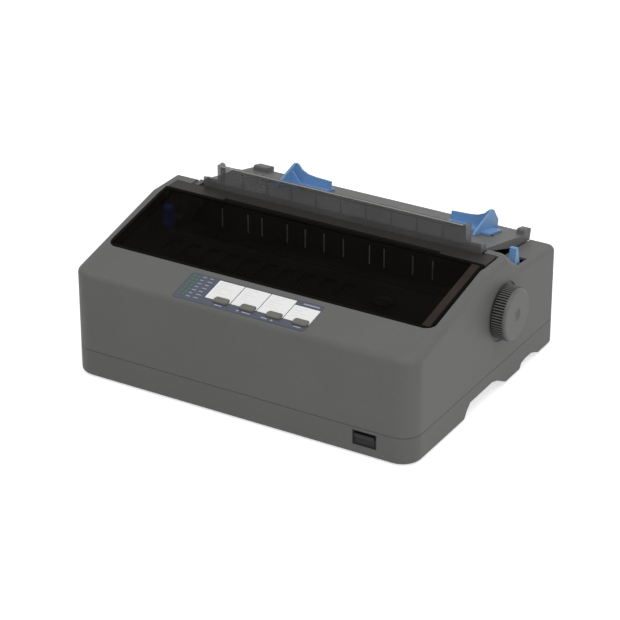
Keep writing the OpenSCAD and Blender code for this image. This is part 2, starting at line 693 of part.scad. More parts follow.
// Edge guide: shoe in the groove, upright fin outside and a wall that falls away towards the middle
guide_wall_w = 40;
module edge_guide(s, fin_x) {
    inward = -s;
    color([0.31, 0.47, 0.69]) on_sheet() translate([fin_x, guide_rail_v, sheet_top + gap]) {
        // fin seen along X: v down the guide, h above its face
        rotate([90, 0, 90]) translate([0, 0, -1.2]) linear_extrude(2.4) polygon([
            [-17, 0], [-15, 3], [12, 18], [16, 19.6], [18.5, 19], [30.5, 8.5], [31, 0]
        ]);
        // wall seen along the slope
        translate([0, 18.5, 0]) rotate([90, 0, 0]) linear_extrude(2.4) polygon([
            [0, 0], [0, 19.6], [inward * 3, 18.6], [inward * 7, 14.5], [inward * 14, 11.4],
            [inward * 22, 10.4], [inward * guide_wall_w, 9.6], [inward * guide_wall_w, 0]
        ]);
        // foot plate and its outer tab
        translate([inward * guide_wall_w / 2 - guide_wall_w / 2, 6, 0]) cube([guide_wall_w, 20, 2]);
        translate([-inward * 4.5 - 5.5, -4, 0]) cube([11, 26, 2]);
        // brace between the fin and the foot plate
        translate([inward * 1.1, 11, 1]) rotate([90, 0, 0]) linear_extrude(2)
            polygon([[-inward, 0], [inward * 12, 0], [-inward, 13]]);
        // shoe that runs in the groove
        translate([inward * 5 - 9, -2.35, -gap - 1.05]) cube([18, 4.7, 1.2 + gap]);
        translate([inward * 5 - 9, -2.35, 0]) cube([18, 10, 2]);
    }
}
module edge_guide_left() { edge_guide(-1, guide_left_x); }
module edge_guide_right() { edge_guide(1, guide_right_x); }

// ---------- levers ----------

release_x0 = 153.5;
release_x1 = 160;
release_pivot_y = 70;
release_pivot_z = 84;
module release_lever() {
    color([0.31, 0.47, 0.69]) difference() {
        union() {
            along_x(release_x0, release_x1) polygon([
                [release_pivot_y - 5, release_pivot_z], [release_pivot_y - 5, 100],
                [release_pivot_y - 6.5, 112], [release_pivot_y - 4.5, 122.6],
                [release_pivot_y - 1, 123], [release_pivot_y + 1.5, 112],
                [release_pivot_y + 5, 100], [release_pivot_y + 5, release_pivot_z]
            ]);
            xrod(6, release_x0, release_x1, release_pivot_y, release_pivot_z);
        }
        xrod(2.5 + fit, release_x0 - 1, release_x1 + 1, release_pivot_y, release_pivot_z);
    }
}

thick_x = -159;
thick_pivot_y = -10;
thick_pivot_z = 92;
module thickness_lever() {
    color([0.31, 0.47, 0.69]) difference() {
        union() {
            along_x(thick_x - 2, thick_x + 2) polygon([
                [thick_pivot_y - 5, thick_pivot_z], [thick_pivot_y - 4, 104],
                [thick_pivot_y + 3, 104], [thick_pivot_y + 5, thick_pivot_z]
            ]);
            xrod(6, thick_x - 2, thick_x + 2, thick_pivot_y, thick_pivot_z);
            // wide finger grip with a waist
            along_x(thick_x - 4, thick_x + 4) polygon([
                [thick_pivot_y - 5.5, 103], [thick_pivot_y - 4, 108], [thick_pivot_y - 4.5, 119],
                [thick_pivot_y - 3, 120.8], [thick_pivot_y + 2, 121.3], [thick_pivot_y + 3.5, 120],
                [thick_pivot_y + 3, 108], [thick_pivot_y + 5, 103]
            ]);
        }
        xrod(2.5 + fit, thick_x - 5, thick_x + 5, thick_pivot_y, thick_pivot_z);
    }
}

// ---------- frame of the print mechanism ----------

bush_r = 7;
journal_r = 4;
rod_y = tractor_y + 17.5;
rod_z = tractor_z - 18;
rod_r = 3;
idler_stud_r = 3;

module frame_plate() {
    difference() {
        polygon([
            [-70, frame_foot_z], [-70, 66], [-60, 74], [-44, 92], [-8, 92], [-2, 108], [14, 116], [36, 116],
            [44, 96], [52, 92], [116, 92], [120, 86], [120, 62], [104, 56], [70, 40],
            [70, frame_foot_z], [56, frame_foot_z], [52, 22], [-46, 22], [-50, frame_foot_z]
        ]);
        translate([platen_y, platen_z]) circle(bush_r);
        translate([guide_y, guide_z]) circle(guide_r);
        translate([tractor_y, tractor_z]) circle(journal_r + fit);
        translate([rod_y, rod_z]) circle(rod_r);
        translate([-48, 32]) circle(6);
        translate([56, 52]) circle(5);
    }
}

module left_side_frame() {
    color([0.72, 0.73, 0.74]) {
        difference() {
            along_x(-frame_x - frame_t, -frame_x) frame_plate();
            xrod(6, -frame_x - 3, -frame_x + 1, pinion_y, pinion_z);
        }
        xrod(2.5, thick_x - 3.5, -frame_x - frame_t, thick_pivot_y, thick_pivot_z);
        xrod(idler_stud_r, -frame_x, gear_x + 1.5, idler_y, idler_z);
        for (y = [-68, 56]) block(-frame_x - 13, y, frame_foot_z, -frame_x - frame_t + eps, y + 12,
                                  frame_foot_z + 2);
    }
}

module right_side_frame() {
    color([0.72, 0.73, 0.74]) {
        along_x(frame_x, frame_x + frame_t) frame_plate();
        xrod(2.5, frame_x + frame_t, release_x1 + 1.5, release_pivot_y, release_pivot_z);
        for (y = [-68, 56]) block(frame_x + frame_t - eps, y, frame_foot_z, frame_x + 13, y + 12,
                                  frame_foot_z + 2);
    }
}

rail_y = -64;
rail_top = 67.6;
belt_y = -40;
belt_z = 50;
pulley_x = 120;
stud_r = 2;
module front_rail() {
    inner = frame_x - 0.1;
    color([0.72, 0.73, 0.74]) difference() {
        union() {
            along_x(-inner, inner) polygon([
                [rail_y, 30], [rail_y + 1.6, 30], [rail_y + 1.6, rail_top - 1.6],
                [-54, rail_top - 1.6], [-54, rail_top], [rail_y, rail_top]
            ]);
            // shelves for the carriage motor and for the belt's idler
            block(-inner, rail_y, 44, -pulley_x + 20, -20, 45.6);
            block(pulley_x - 10, rail_y, 42, inner, belt_y + 8, 43.6);
            translate([pulley_x, belt_y, 43.6 - eps]) cylinder(r = stud_r, h = 12);
        }
        translate([-pulley_x, belt_y, 40]) cylinder(r = 6, h = 8);
    }
}

module guide_shaft() {
    color([0.8, 0.8, 0.82]) xrod(guide_r, -frame_x - 4, frame_x + 4, guide_y, guide_z);
}

module platen_bushes() {
    color([0.85, 0.84, 0.8]) for (s = arm_x) difference() {
        union() {
            xrod(bush_r, s * (frame_x + 0.8) - 2.8, s * (frame_x + 0.8) + 2.8, platen_y, platen_z);
            xrod(bush_r + 2, s * (frame_x + 2.6) - 1, s * (frame_x + 2.6) + 1, platen_y, platen_z);
        }
        xrod(platen_shaft_r + fit, s * frame_x - 6, s * frame_x + 6, platen_y, platen_z);
    }
}

// ---------- carriage and belt ----------

carriage_half_w = 23;
module carriage() {
    x0 = carriage_park - carriage_half_w;
    x1 = carriage_park + carriage_half_w;
    color([0.13, 0.13, 0.14]) difference() {
        union() {
            along_x(x0, x1) union() {
                translate([-61, 68.6]) square([57, 3.4]);
                translate([-61, rail_top + gap]) square([7, 4]);
                translate([guide_y, guide_z]) circle(9);
                polygon([[guide_y - 9, guide_z], [guide_y - 12, 70], [guide_y + 12, 70],
                         [guide_y + 9, guide_z]]);
            }
            // jaws that hold the belt's rear run
            block(carriage_park - 8, belt_y + belt_r - 4, 45.5, carriage_park + 8, belt_y + belt_r + 4, 69);
        }
        xrod(guide_r + fit, x0 - 1, x1 + 1, guide_y, guide_z);
        block(carriage_park - 9, belt_y + belt_r - 0.9, 45, carriage_park + 9, belt_y + belt_r + 0.9,
              belt_z + 3.4);
        block(x0 + 8, -52, 60, x1 - 8, -42, 80);
    }
}

module print_head() {
    color([0.16, 0.16, 0.17]) translate([carriage_park, 0, 0]) {
        along_x(-16, 16) polygon([[-26, 72], [-26, 90], [-20, 94], [0, 94], [4, 88], [4, 72]]);
        // nose that carries the needles
        along_x(-6, 6) polygon([[3, 72], [3, 86], [10, 83], [14, 81.5], [14, 76.5], [10, 74]]);
        // cooling fins
        for (k = [0 : head_fins - 1]) translate([-14 + k * 28 / (head_fins - 1), 0, 0])
            along_x(-0.8, 0.8) polygon([[-25, 90], [-24, 102], [-4, 102], [0, 93]]);
    }
}

module carriage_motor() {
    color([0.2, 0.2, 0.21]) translate([-pulley_x, belt_y, 0]) difference() {
        union() {
            translate([0, 0, 16]) cylinder(r = 17.5, h = 26);
            translate([0, 0, 42]) cylinder(r = 17.5, h = 2);
            translate([0, 0, 14]) cylinder(r = 8, h = 3);
            translate([-19.5, -8, 42.4]) cube([40, 16, 1.6]);
        }
        translate([0, 0, 30]) cylinder(r = 1.5 + fit, h = 20);
    }
}

// Flanged pulley on a vertical axis
module pulley() {
    difference() {
        cylinder(r = belt_r - 0.5 - gap, h = 8.4, center = true);
        for (k = [0 : 17]) rotate(k * 20) translate([belt_r - 0.5 - gap, 0, 0])
            cylinder(r = 0.35, h = 5.6, center = true, $fn = 8);
    }
    for (z = [-3.9, 3.9]) translate([0, 0, z]) cylinder(r = belt_r + 1.4, h = 0.8, center = true);
}

module motor_pulley() {
    color([0.8, 0.78, 0.72]) translate([-pulley_x, belt_y, 0]) {
        translate([0, 0, belt_z]) pulley();
        translate([0, 0, 34]) cylinder(r = 1.5, h = 13);
    }
}

module belt_idler() {
    color([0.8, 0.78, 0.72]) translate([pulley_x, belt_y, belt_z]) difference() {
        pulley();
        cylinder(r = stud_r + fit, h = 20, center = true);
    }
}

module timing_belt() {
    module loop(r) {
        for (s = arm_x) translate([s * pulley_x, belt_y]) circle(r);
        translate([-pulley_x, belt_y - r]) square([2 * pulley_x, 2 * r]);
    }
    color([0.08, 0.08, 0.08]) translate([0, 0, belt_z - 2.9]) linear_extrude(5.8) difference() {
        loop(belt_r + 0.5);
        loop(belt_r - 0.5);
    }
}

// ---------- ribbon ----------

ribbon_x = 148;
finger_x = 127;
ribbon_knob_x = 96;
ribbon_knob_y = -62;
module ribbon_cartridge() {
    color([0.1, 0.1, 0.1]) difference() {
        union() {
            along_x(-ribbon_x, ribbon_x) polygon([
                [-80, 95], [-80, 104], [-77, 106], [-34, 110.5], [-29, 108.5], [-29, 95]
            ]);
            for (s = arm_x) {
                along_x(s * 134 - 5, s * 134 + 5) polygon([[-30, 97], [-30, 107], [0, 104], [3, 100],
                                                           [3, 97]]);
                along_x(s * finger_x - 2.4, s * finger_x + 2.4) polygon([
                    [-10, 97], [-10, 103], [0, 104], [8, 92], [12.5, 88], [14.9, 86], [14.9, 73],
                    [11, 73], [6, 84], [0, 95]
                ]);
            }
        }
        translate([ribbon_knob_x, ribbon_knob_y, 90]) cylinder(r = 2 + fit, h = 30);
        translate([ribbon_knob_x, ribbon_knob_y, 105.6]) cylinder(r = 11, h = 10);
        for (x = [-130 : 20 : 60]) block(x, -72, 105.6, x + 12, -46, 114);
    }
}

module ink_ribbon() {
    color([0.05, 0.05, 0.07]) block(-finger_x + 2.4, 14.65, 73.5, finger_x - 2.4, 14.85, 85.5);
}

module ribbon_knob() {
    color([0.2, 0.2, 0.2]) translate([ribbon_knob_x, ribbon_knob_y, 0]) {
        translate([0, 0, 97]) cylinder(r = 2, h = 10);
        translate([0, 0, 105.9]) linear_extrude(4.4) difference() {
            circle(9.2);
            for (k = [0 : 11]) rotate(k * 30) translate([10, 0]) circle(1.5, $fn = 16);
        }
        translate([-7, -1.2, 110]) cube([14, 2.4, 1.6]);
    }
}

// ---------- platen and feed train ----------

shaft_x0 = -147;
knob_x0 = case_x1 + 0.6;
knob_x1 = overall_w / 2;
module platen_shaft() {
    color([0.8, 0.8, 0.82]) difference() {
        xrod(platen_shaft_r, shaft_x0, knob_x1 - 6, platen_y, platen_z);
        block(gear_x - gear_w - 1, platen_y - 5, platen_z + 3.4, gear_x - gear_w - 0.2, platen_y + 5,
              platen_z + 5);
    }
}

module platen_roller() {
    color([0.1, 0.1, 0.1]) difference() {
        xrod(platen_r, -platen_half_w, platen_half_w, platen_y, platen_z);
        xrod(platen_shaft_r, -platen_half_w - 1, platen_half_w + 1, platen_y, platen_z);
    }
}

module platen_gear() {
    color([0.88, 0.87, 0.83]) {
        x_gear(platen_teeth, 0, gear_x - gear_w, gear_w, platen_y, platen_z, platen_shaft_r);
        difference() {
            xrod(8, gear_x - eps, gear_x + 5, platen_y, platen_z);
            xrod(platen_shaft_r, gear_x - 1, gear_x + 6, platen_y, platen_z);
        }
    }
}

// Knob with grip ribs round the rim and a dished face with a thumb recess
module feed_knob() {
    rib_step = 360 / knob_ribs;
    cap_h = 3;
    color([0.44, 0.44, 0.43]) difference() {
        union() {
            along_x(knob_x0, knob_x1 - cap_h) translate([platen_y, platen_z]) polygon([
                for (k = [0 : knob_ribs - 1], e = [[-0.3, 0.8], [-0.18, 0], [0.18, 0], [0.3, 0.8]])
                    (knob_r - e[1]) * [cos((k + e[0]) * rib_step), sin((k + e[0]) * rib_step)]
            ]);
            translate([knob_x1 - cap_h, platen_y, platen_z]) rotate([0, 90, 0]) rotate_extrude($fn = 96)
                polygon([[0, -0.1], [23.9, -0.1], [23.9, 1.2], [23.4, 2.2], [22.4, 2.9], [21.6, 3], [0, 3]]);
            xrod(10, case_x1 - 9, knob_x0 + 1, platen_y, platen_z);
        }
        xrod(platen_shaft_r, case_x1 - 10, knob_x1 - 6, platen_y, platen_z);
        // round recess in the face
        translate([knob_x1 + 9.2, platen_y, platen_z]) sphere(11, $fn = 64);
    }
}

module feed_motor() {
    color([0.2, 0.2, 0.21]) difference() {
        union() {
            xrod(17, -frame_x - frame_t - 20, -frame_x - frame_t, pinion_y, pinion_z);
            translate([0, pinion_y, pinion_z]) rotate([15, 0, 0])
                block(-frame_x - frame_t - 1.6, -22, -8, -frame_x - frame_t, 22, 8);
        }
        xrod(1.5 + fit, -frame_x - 16, -frame_x + 1, pinion_y, pinion_z);
    }
}

module feed_pinion() {
    color([0.82, 0.7, 0.4]) {
        difference() {
            x_gear(pinion_teeth, pinion_phase, gear_x - gear_w, gear_w, pinion_y, pinion_z, 1);
            xrod(1.1, gear_x - gear_w - 1, gear_x + 1, pinion_y, pinion_z);
        }
        xrod(1.5, -frame_x - 14, gear_x, pinion_y, pinion_z);
    }
}

module idler_gear() {
    color([0.88, 0.87, 0.83])
        x_gear(idler_teeth, idler_phase, gear_x - gear_w, gear_w, idler_y, idler_z, idler_stud_r + fit);
}

guide_half = 120;
module paper_guide() {
    r0 = platen_r + 2.4;
    color([0.16, 0.16, 0.16]) difference() {
        union() {
            // trough under the roller, ends and the chute that cut sheets slide down
            along_x(-guide_half - 4, guide_half + 4) difference() {
                translate([platen_y, platen_z]) circle(r0 + 1.6);
                translate([platen_y, platen_z]) circle(r0);
                translate([platen_y - 30, platen_z - 4]) square([60, 40]);
                translate([platen_y - 30, platen_z - 30]) square([18, 40]);
            }
            along_x(-guide_half - 4, guide_half + 4) polygon([
                [45, 84], [46.6, 84], [47.6, 116], [46, 117]
            ]);
            for (s = arm_x) along_x(s * (guide_half + 4.2) - 0.8, s * (guide_half + 4.2) + 0.8)
                polygon([[32, 62], [44, 70], [49, 84], [49, 116], [46, 117], [38, 88], [26, 66], [24, 62]]);
            for (s = arm_x) block(s * 132 - 7.9, 46.4, 98, s * 132 + 7.9, 48.4, 106);
        }
        xrod(platen_shaft_r + 3, -guide_half - 9, guide_half + 9, platen_y, platen_z);
    }
}

// Ribbed guide that leads the paper up to the exit slot
exit_ribs = [-117, -89, -74, -47, -28, -8, 12, 39, 54, 83, 103];
module exit_guide() {
    color([0.15, 0.15, 0.15]) {
        block(gear_x + 1.5, 17.2, 95, frame_x - 0.1, 18.8, 122);
        block(gear_x + 1.5, 18, 95, frame_x - 0.1, 37, 96.6);
        block(-frame_x + 0.1, 17.2, 103, gear_x + 2, 18.8, 122);
        for (x = exit_ribs) along_x(x - 0.8, x + 0.8) polygon([
            [15.4, 99], [17.3, 96], [17.3, 121], [15.4, 118]
        ]);
    }
}

// ---------- tractor ----------

square_a = 6;            // side of the square part of the tractor shaft
module tractor_shaft() {
    color([0.8, 0.8, 0.82]) {
        translate([0, tractor_y, tractor_z])
            block(-126, -square_a / 2, -square_a / 2, 134, square_a / 2, square_a / 2);
        xrod(journal_r, -frame_x - 4, -126, tractor_y, tractor_z);
        xrod(journal_r, 134, frame_x + 4, tractor_y, tractor_z);
    }
}

module tractor_gear() {
    color([0.88, 0.87, 0.83])
        x_gear(tractor_teeth, tractor_phase, gear_x - gear_w, gear_w, tractor_y, tractor_z, journal_r);
}

module tractor_rod() {
    color([0.8, 0.8, 0.82]) xrod(rod_r, -frame_x - 3, frame_x + 3, rod_y, rod_z);
}

tractor_x = 106;
tractor_w = 18;
hub_r = 6;
sprocket_pins = 8;
flap_pin_r = 1;
flap_z = 95;
flap_y0 = 81;
flap_y1 = 99;
// s is -1 for the left unit and 1 for the right one
module tractor_unit(s) {
    x0 = s * tractor_x - tractor_w / 2;
    x1 = x0 + tractor_w;
    hinge_x = s * (tractor_x + tractor_w / 2 + 1.6);
    color([0.15, 0.15, 0.15]) difference() {
        union() {
            along_x(x0, x1) polygon([
                [80, 70], [79, 88], [82, 92], [106, 92], [118, 84], [118, 61], [115, 58.5],
                [109, 58.5], [102, 66], [84, 66]
            ]);
            // hinge ears of the flap
            for (y = [84, 92]) difference() {
                union() {
                    block(min(hinge_x, s * (tractor_x + 8)) - 0.5, y, 88,
                          max(hinge_x, s * (tractor_x + 8)) + 0.5, y + 4, 92);
                    translate([hinge_x, y, flap_z - 1]) rotate([-90, 0, 0]) cylinder(r = 2.2, h = 4);
                    block(hinge_x - 2.2, y, 90, hinge_x + 2.2, y + 4, flap_z - 1);
                }
            }
        }
        // slot for the sprocket, bores for hub, rod and flap pin
        block(x0 + 3.2, 78, 69.3, x1 - 3.2, 107.6, 99);
        xrod(hub_r + fit, x0 - 1, x1 + 1, tractor_y, tractor_z);
        xrod(rod_r + fit, x0 - 1, x1 + 1, rod_y, rod_z);
        translate([hinge_x, 80, flap_z - 1]) rotate([-90, 0, 0]) cylinder(r = flap_pin_r + fit, h = 30);
    }
}
module tractor_left() { tractor_unit(-1); }
module tractor_right() { tractor_unit(1); }

module sprocket(s) {
    x0 = s * tractor_x - tractor_w / 2;
    x1 = x0 + tractor_w;
    mid = s * tractor_x;
    color([0.85, 0.85, 0.83]) difference() {
        union() {
            xrod(hub_r, x0 + 0.2, x1 - 0.2, tractor_y, tractor_z);
            xrod(9, mid - 3, mid + 3, tractor_y, tractor_z);
            for (k = [0 : sprocket_pins - 1])
                translate([mid, tractor_y, tractor_z]) rotate([k * 360 / sprocket_pins, 0, 0])
                    translate([0, 0, 8]) cylinder(r1 = 1.9, r2 = 1, h = 4, $fn = 24);
        }
        translate([0, tractor_y, tractor_z])
            block(x0 - 1, -square_a / 2 - 0.15, -square_a / 2 - 0.15, x1 + 1, square_a / 2 + 0.15,
                  square_a / 2 + 0.15);
    }
}
module sprocket_left() { sprocket(-1); }
module sprocket_right() { sprocket(1); }

module tractor_flap(s) {
    mid = s * tractor_x;
    hinge_x = s * (tractor_x + tractor_w / 2 + 1.6);
    edge_x = s * (tractor_x - tractor_w / 2 + 4);
    color([0.2, 0.2, 0.2]) difference() {
        union() {
            block(min(edge_x, hinge_x), flap_y0, flap_z, max(edge_x, hinge_x), flap_y1, flap_z + 1.6);
            translate([hinge_x, flap_y0, flap_z - 1]) rotate([-90, 0, 0])
                cylinder(r = flap_pin_r, h = flap_y1 - flap_y0);
            block(hinge_x - 1, flap_y0, flap_z - 1, hinge_x + 1, flap_y1, flap_z + 1);
        }
        // slots over the pins and round the ears
        block(mid - 2.8, flap_y0 + 3, flap_z - 1, mid + 2.8, flap_y1 - 3, flap_z + 3);
        for (y = [84, 92]) difference() {
            block(hinge_x - 4, y - gap, flap_z - 4, hinge_x + 4, y + 4 + gap, flap_z + 3);
            translate([hinge_x, y - 1, flap_z - 1]) rotate([-90, 0, 0]) cylinder(r = flap_pin_r, h = 7);
        }
    }
}
module tractor_flap_left() { tractor_flap(-1); }
module tractor_flap_right() { tractor_flap(1); }

// ---------- electronics and sockets ----------

// x, y, width, depth, height of the parts on the main board
board_parts = [
    [-110, -112, 14, 14, 2.4], [-84, -108, 22, 10, 3], [-50, -106, 10, 24, 3],
    [-30, -90, 18, 6, 8], [10, -108, 26, 9, 3], [48, -100, 6, 22, 9], [66, -108, 20, 14, 2.4]
];
module main_board() {
    color([0.1, 0.35, 0.2]) difference() {
        block(-124, -118, board_z, 104, -68, board_z + 1.6);
        for (p = board_posts) translate([p[0], p[1], board_z - 1]) cylinder(r = 1.6, h = 4);
    }
    color([0.1, 0.1, 0.1]) for (p = board_parts)
        translate([p[0], p[1], board_z + 1.6]) cube([p[2], p[3], p[4]]);
}

module power_supply() {
    color([0.6, 0.5, 0.25]) block(24, 0, board_z, 132, 100, board_z + 1.6);
    color([0.25, 0.25, 0.27]) {
        // transformer, heat sink with fins, capacitors
        block(40, 52, board_z + 1.6, 84, 88, board_z + 34);
        block(50, 60, board_z + 34 - eps, 74, 80, board_z + 37);
        block(98, 10, board_z + 1.6, 101, 70, board_z + 32);
        for (y = [12 : 8 : 68]) block(101 - eps, y, board_z + 8, 110, y + 1.6, board_z + 32);
        for (p = [[40, 14], [62, 14], [40, 36]]) translate([p[0], p[1], board_z + 1.6])
            cylinder(r = 8, h = 24);
    }
}

module ac_inlet() {
    y1 = rear_y - 0.2;
    mid = (inlet_x0 + inlet_x1) / 2;
    color([0.08, 0.08, 0.08]) difference() {
        block(inlet_x0, y1 - 24, inlet_z0, inlet_x1, y1, inlet_z1);
        block(inlet_x0 + 2.5, y1 - 16, inlet_z0 + 2.5, inlet_x1 - 2.5, y1 + 1, inlet_z1 - 2.5);
    }
    color([0.8, 0.8, 0.82]) for (x = [-7, 0, 7]) translate([mid + x, 0, (inlet_z0 + inlet_z1) / 2])
        block(-1, y1 - 20, x == 0 ? 0 : -4, 1, y1 - 4, x == 0 ? 4 : 0);
}

module interface_ports() {
    y1 = rear_y - 0.2;
    color([0.1, 0.35, 0.2]) block(-156, 100, port_boxes[0][2] - 2, -26, y1 - wall - 1,
                                  port_boxes[0][2] - 0.4);
    color([0.7, 0.71, 0.72]) for (p = port_boxes) difference() {
        block(p[0], y1 - 16, p[2] - 0.4 - eps, p[1], y1, p[3]);
        block(p[0] + 1.5, y1 - 9, p[2] + 1.5, p[1] - 1.5, y1 + 1, p[3] - 1.5);
    }
    color([0.9, 0.9, 0.88]) for (p = port_boxes)
        block(p[0] + 4, y1 - 10, (p[2] + p[3]) / 2 - 1.2, p[1] - 4, y1 - 2, (p[2] + p[3]) / 2 + 1.2);
}

lower_case();
upper_case();
rubber_feet();
case_screws();
control_panel();
indicator_leds();
panel_board();
button_1();
button_2();
button_3();
button_4();
switch_housing();
power_rocker();
main_board();
power_supply();
ac_inlet();
interface_ports();
left_side_frame();
right_side_frame();
front_rail();
guide_shaft();
platen_bushes();
carriage();
print_head();
carriage_motor();
motor_pulley();
belt_idler();
timing_belt();
ribbon_cartridge();
ink_ribbon();
ribbon_knob();
platen_shaft();
platen_roller();
platen_gear();
feed_knob();
feed_motor();
feed_pinion();
idler_gear();
paper_guide();
exit_guide();
tractor_shaft();
tractor_gear();
tractor_rod();
tractor_left();
tractor_right();
sprocket_left();
sprocket_right();
tractor_flap_left();
tractor_flap_right();
cover_window();
cover_upright();
sheet_guide();
edge_guide_left();
edge_guide_right();
release_lever();
thickness_lever();
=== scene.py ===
import bpy
import bmesh
import math
from mathutils import Vector, Matrix


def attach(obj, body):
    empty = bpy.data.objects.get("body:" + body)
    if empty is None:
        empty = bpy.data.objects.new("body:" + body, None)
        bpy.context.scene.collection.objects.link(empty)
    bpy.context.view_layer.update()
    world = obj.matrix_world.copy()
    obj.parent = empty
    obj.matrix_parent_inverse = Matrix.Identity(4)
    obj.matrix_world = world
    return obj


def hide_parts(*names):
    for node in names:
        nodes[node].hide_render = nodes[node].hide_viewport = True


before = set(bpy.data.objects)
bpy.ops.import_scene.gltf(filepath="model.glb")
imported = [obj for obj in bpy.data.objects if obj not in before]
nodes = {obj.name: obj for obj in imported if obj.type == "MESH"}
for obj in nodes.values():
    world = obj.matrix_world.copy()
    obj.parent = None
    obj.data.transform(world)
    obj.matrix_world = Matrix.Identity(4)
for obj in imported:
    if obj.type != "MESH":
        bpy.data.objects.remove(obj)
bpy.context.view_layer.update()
MM = 0.001

# ---------- camera ----------

PHOTO_PX = 620
SENSOR_MM = 36.0
CAM_AZIMUTH = math.radians(30.58)
CAM_ELEVATION = math.radians(26.60)
CAM_DISTANCE = 2.272
CAM_TARGET = Vector((-0.00725, 0.0, 0.060))
CAM_FOCAL_PX = 2504
TARGET_PX = (6.27, -12.11)      # where the target lies from the photo's middle, right and down


def make_camera():
    """Camera at the photograph's viewing angle."""
    data = bpy.data.cameras.new("photo_camera")
    cam = bpy.data.objects.new("photo_camera", data)
    bpy.context.scene.collection.objects.link(cam)
    away = Vector((
        math.sin(CAM_AZIMUTH) * math.cos(CAM_ELEVATION),
        -math.cos(CAM_AZIMUTH) * math.cos(CAM_ELEVATION),
        math.sin(CAM_ELEVATION),
    ))
    cam.location = CAM_TARGET + away * CAM_DISTANCE
    cam.rotation_euler = (-away).to_track_quat("-Z", "Y").to_euler()
    data.sensor_width = SENSOR_MM
    data.lens = CAM_FOCAL_PX / PHOTO_PX * SENSOR_MM
    data.shift_x = -TARGET_PX[0] / PHOTO_PX
    data.shift_y = TARGET_PX[1] / PHOTO_PX
    bpy.context.scene.camera = cam


make_camera()
bpy.context.scene.view_settings.view_transform = "Standard"

# ---------- materials ----------


def rgb(r, g, b):
    """Linear colour from 8-bit sRGB numbers."""
    def lin(v):
        v = v / 255
        return v / 12.92 if v <= 0.04045 else ((v + 0.055) / 1.055) ** 2.4
    return (lin(r), lin(g), lin(b), 1.0)


def scaled(colour, k):
    """A colour times k, so lighter above 1 and darker below."""
    return tuple(min(1.0, c * k) for c in colour[:3]) + (1.0,)


BEVEL_SAMPLES = 6


class Tree:
    """A new material, with short ways to add and link its shader nodes."""

    def __init__(self, name):
        self.mat = bpy.data.materials.new(name)
        self.mat.use_nodes = True
        self.nt = self.mat.node_tree
        self.bsdf = self.nt.nodes["Principled BSDF"]
        self.out = self.nt.nodes["Material Output"]

    def add(self, kind, **settings):
        """A node with its properties or input values set by name."""
        node = self.nt.nodes.new(kind)
        for key, value in settings.items():
            if hasattr(node, key):
                setattr(node, key, value)
            else:
                node.inputs[key].default_value = value
        return node

    def link(self, source, target):
        self.nt.links.new(source, target)

    def coords(self, stretch=(1, 1, 1)):
        tex = self.add("ShaderNodeTexCoord")
        mapping = self.add("ShaderNodeMapping")
        mapping.inputs["Scale"].default_value = stretch
        self.link(tex.outputs["Object"], mapping.inputs["Vector"])
        return mapping.outputs["Vector"]

    def noise(self, vector, scale, detail=3.0, rough=0.5):
        node = self.add("ShaderNodeTexNoise", Scale=scale, Detail=detail, Roughness=rough)
        self.link(vector, node.inputs["Vector"])
        return node.outputs["Fac"]

    def ramp(self, fac, stops):
        node = self.add("ShaderNodeValToRGB")
        elements = node.color_ramp.elements
        while len(elements) < len(stops):
            elements.new(0.5)
        for element, (position, colour) in zip(elements, stops):
            element.position = position
            element.color = colour
        self.link(fac, node.inputs["Fac"])
        return node.outputs["Color"]

    def span(self, fac, low, high):
        """The factor stretched over low to high."""
        node = self.add("ShaderNodeMapRange")
        node.inputs["To Min"].default_value = low
        node.inputs["To Max"].default_value = high
        self.link(fac, node.inputs["Value"])
        return node.outputs["Result"]

    def bump(self, height, strength, distance, edge_mm=0.0):
        node = self.add("ShaderNodeBump", Strength=strength, Distance=distance)
        self.link(height, node.inputs["Height"])
        if edge_mm:
            bevel = self.add("ShaderNodeBevel", samples=BEVEL_SAMPLES)
            bevel.inputs["Radius"].default_value = edge_mm * MM
            self.link(bevel.outputs["Normal"], node.inputs["Normal"])
        self.link(node.outputs["Normal"], self.bsdf.inputs["Normal"])


CLOUD_SCALE = 14         # slow cloudiness of a moulding
SPECK_SCALE = 260        # its fine mottling
SPECK_SHARE = 0.35       # how much of the mottling goes into the colour
COLOUR_SWING = 0.06      # how far the colour goes either way


def moulded(name, colour, rough=0.55, grain=0.12, grain_scale=1400, edge_mm=0.5, spec=0.4, wear=1.0):
    """Moulded plastic: fine spark-eroded grain, slight cloudiness and uneven sheen."""
    t = Tree(name)
    v = t.coords()
    cloud = t.noise(v, CLOUD_SCALE, 3)
    fine = t.noise(v, grain_scale, 2, 0.6)
    speck = t.noise(v, SPECK_SCALE, 2)
    mix = t.add("ShaderNodeMix", data_type="FLOAT")
    mix.inputs[0].default_value = SPECK_SHARE
    t.link(cloud, mix.inputs[2])
    t.link(speck, mix.inputs[3])
    swing = COLOUR_SWING * wear
    colours = t.ramp(mix.outputs[0], [(0.30, scaled(colour, 1 - swing)), (0.72, scaled(colour, 1 + swing))])
    t.link(colours, t.bsdf.inputs["Base Color"])
    t.link(t.span(cloud, rough - 0.05, rough + 0.06), t.bsdf.inputs["Roughness"])
    t.bsdf.inputs["Specular IOR Level"].default_value = spec
    t.bump(fine, grain, 0.0004, edge_mm)
    return t.mat


GRAIN_SCALE = 420        # lines of rolling or turning in metal
BLOTCH_SCALE = 30        # its slow changes of colour
FLOW_SCALE = 22          # flow marks of a clear moulding
TRACK_SCALE = 120.0      # tracks of a circuit board
MASK_SCALE = 300         # grain of the lacquer on it


